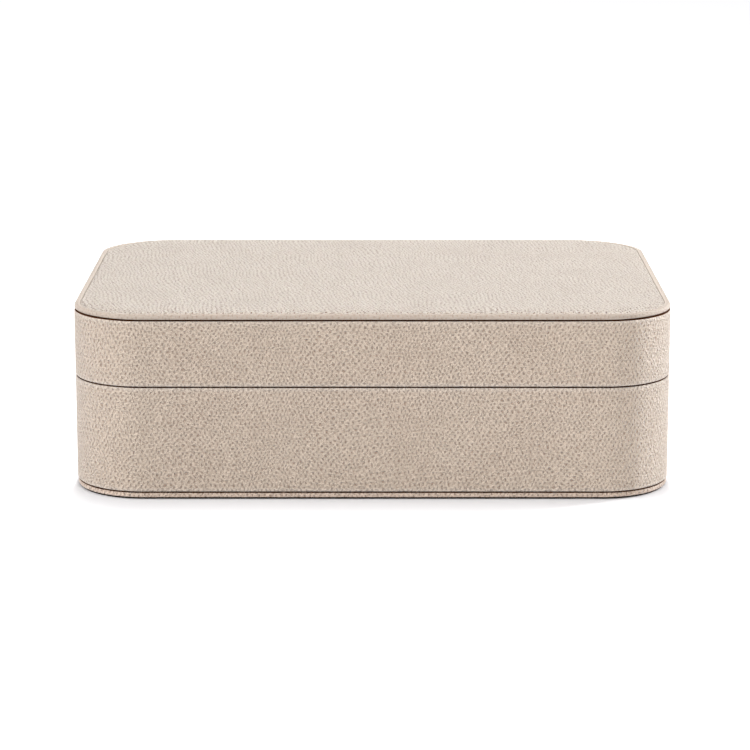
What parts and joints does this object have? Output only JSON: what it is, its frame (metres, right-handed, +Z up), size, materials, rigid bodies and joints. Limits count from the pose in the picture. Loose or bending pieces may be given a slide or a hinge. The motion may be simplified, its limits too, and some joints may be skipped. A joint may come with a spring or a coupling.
{
  "type": "leather box",
  "caption": "Low leather box with rounded upright corners, a padded top panel inside a rolled welt, and a lid on hidden back hinges, for papers and keepsakes.",
  "frame": {"origin": "under the middle of the box, on the surface that it stands on", "axes": "+X to the right of the box, +Y from its front to its hinged back, +Z up"},
  "size_m": [0.28, 0.2, 0.0885],
  "materials": {
    "band_leather": "taupe-beige pebbled leather, satin",
    "top_leather": "taupe-beige pebbled leather, satin, over thin padding",
    "bottom_leather": "thin skived taupe-beige leather",
    "wood_board": "unfinished bent plywood and board",
    "suede_lining": "brown suede-covered card",
    "card": "grey-brown card",
    "felt": "dark brown felt",
    "foam": "thin upholstery foam",
    "magnet": "nickel-plated magnet",
    "hinge_brass": "satin brass"
  },
  "bodies": {
    "base": {"base_frame": "wood_board", "base_band_leather": "band_leather", "base_floor": "wood_board", "base_wall_lining": "suede_lining", "base_floor_pad": "suede_lining", "bottom_board": "card", "bottom_leather": "bottom_leather", "bottom_felt": "felt", "base_magnets": "magnet", "hinge_leaf_base_left": "hinge_brass", "hinge_leaf_base_right": "hinge_brass", "hinge_pin_left": "hinge_brass", "hinge_pin_right": "hinge_brass", "base_hinge_screws": "hinge_brass"},
    "lid": {"lid_frame": "wood_board", "lid_band_leather": "band_leather", "lid_top_board": "wood_board", "lid_welt": "top_leather", "lid_top_foam": "foam", "lid_top_leather": "top_leather", "lid_ceiling_lining": "suede_lining", "lid_wall_lining": "suede_lining", "lid_magnets": "magnet", "hinge_leaf_lid_left": "hinge_brass", "hinge_leaf_lid_right": "hinge_brass", "lid_hinge_screws": "hinge_brass"}
  },
  "joints": [
    {"name": "lid_hinge", "type": "hinge", "parent": "base", "child": "lid", "pos_m": [0, 0.0974, 0.0534], "axis": [-1, 0, 0], "range_deg": [0, 100]}
  ]
}
